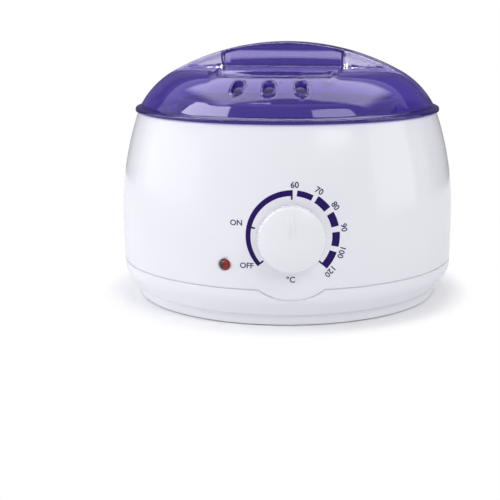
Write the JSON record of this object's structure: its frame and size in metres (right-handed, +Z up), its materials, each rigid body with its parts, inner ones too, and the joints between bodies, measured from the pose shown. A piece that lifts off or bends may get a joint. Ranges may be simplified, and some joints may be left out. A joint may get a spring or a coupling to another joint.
{
  "type": "wax warmer pot",
  "caption": "Round electric wax warmer: a white heated housing with a dial thermostat and lamp, a lift-out metal pot with a bail, and a see-through domed lid with a moulded grip.",
  "frame": {"origin": "on the table plane, on the vertical axis of the round body", "axes": "+Z up through the lid, -Y to the front where the dial is, +X to the right seen from the front"},
  "size_m": [0.1856, 0.1995, 0.1396],
  "materials": {
    "lid_purple": "clear tinted, polished",
    "housing_white": "gloss white",
    "knob_white": "satin white",
    "lens_red": "clear red",
    "pot_aluminium": "spun, satin",
    "chamber_aluminium": "pressed, matt",
    "stainless_wire": "drawn wire",
    "plated_steel": "zinc plated",
    "rivet_aluminium": "pressed",
    "brass": "turned",
    "bimetal": "rolled",
    "ceramic": "unglazed",
    "mica": "pressed mica",
    "glass_wool": "felted glass fibre",
    "neon_glass": "clear",
    "resistor_blue": "lacquered",
    "block_plastic": "moulded",
    "lead_brown": "silicone sleeve",
    "lead_black": "silicone sleeve",
    "lead_blue": "silicone sleeve",
    "lead_green": "silicone sleeve",
    "lead_grey": "silicone sleeve",
    "gland_white": "moulded",
    "foot_rubber": "moulded",
    "dial_print": "pad printed ink"
  },
  "bodies": {
    "housing": {"upper_housing": "housing_white", "base_cover": "housing_white", "lamp_lens": "lens_red", "heating_chamber": "chamber_aluminium", "chamber_screws": "plated_steel", "heater_strap": "plated_steel", "strap_screw": "plated_steel", "thermostat_nut": "plated_steel", "thermostat_plate": "plated_steel", "plate_screws": "plated_steel", "fuse_clip": "plated_steel", "lamp_ring": "plated_steel", "block_screws": "plated_steel", "base_screws": "plated_steel", "thermostat_bush": "brass", "terminal_screws": "brass", "earth_screw": "brass", "sensing_post": "bimetal", "thermostat_body": "ceramic", "thermal_fuse": "ceramic", "heater_band": "mica", "insulation_blanket": "glass_wool", "neon_lamp": "neon_glass", "lamp_resistor": "resistor_blue", "terminal_block": "block_plastic", "live_lead": "lead_brown", "switched_lead": "lead_black", "heater_lead": "lead_black", "neutral_lead": "lead_blue", "earth_lead": "lead_green", "lamp_leads": "lead_grey", "cord_gland": "gland_white", "rubber_feet": "foot_rubber"},
    "pot": {"pot": "pot_aluminium", "pot_ears": "plated_steel", "pot_rivets": "rivet_aluminium"},
    "bail": {"bail": "stainless_wire"},
    "lid": {"lid": "lid_purple"},
    "knob": {"control_knob": "knob_white", "knob_clip": "plated_steel", "thermostat_shaft": "brass"}
  },
  "joints": [
    {"name": "knob_turn", "type": "hinge", "parent": "housing", "child": "knob", "pos_m": [0, -0.098, 0.048], "axis": [0, 1, 0], "range_deg": [-130, 130]},
    {"name": "pot_lift", "type": "slide", "parent": "housing", "child": "pot", "axis": [0, 0, 1], "range_m": [0, 0.11]},
    {"name": "lid_lift", "type": "slide", "parent": "pot", "child": "lid", "axis": [0, 0, 1], "range_m": [0, 0.15]},
    {"name": "bail_swing", "type": "hinge", "parent": "pot", "child": "bail", "pos_m": [0, 0, 0.102], "axis": [1, 0, 0], "range_deg": [0, 180]}
  ],
  "couplings": [
    {"joint": "bail_swing", "follows": "lid_lift", "rad_per_m": 20.944}
  ]
}
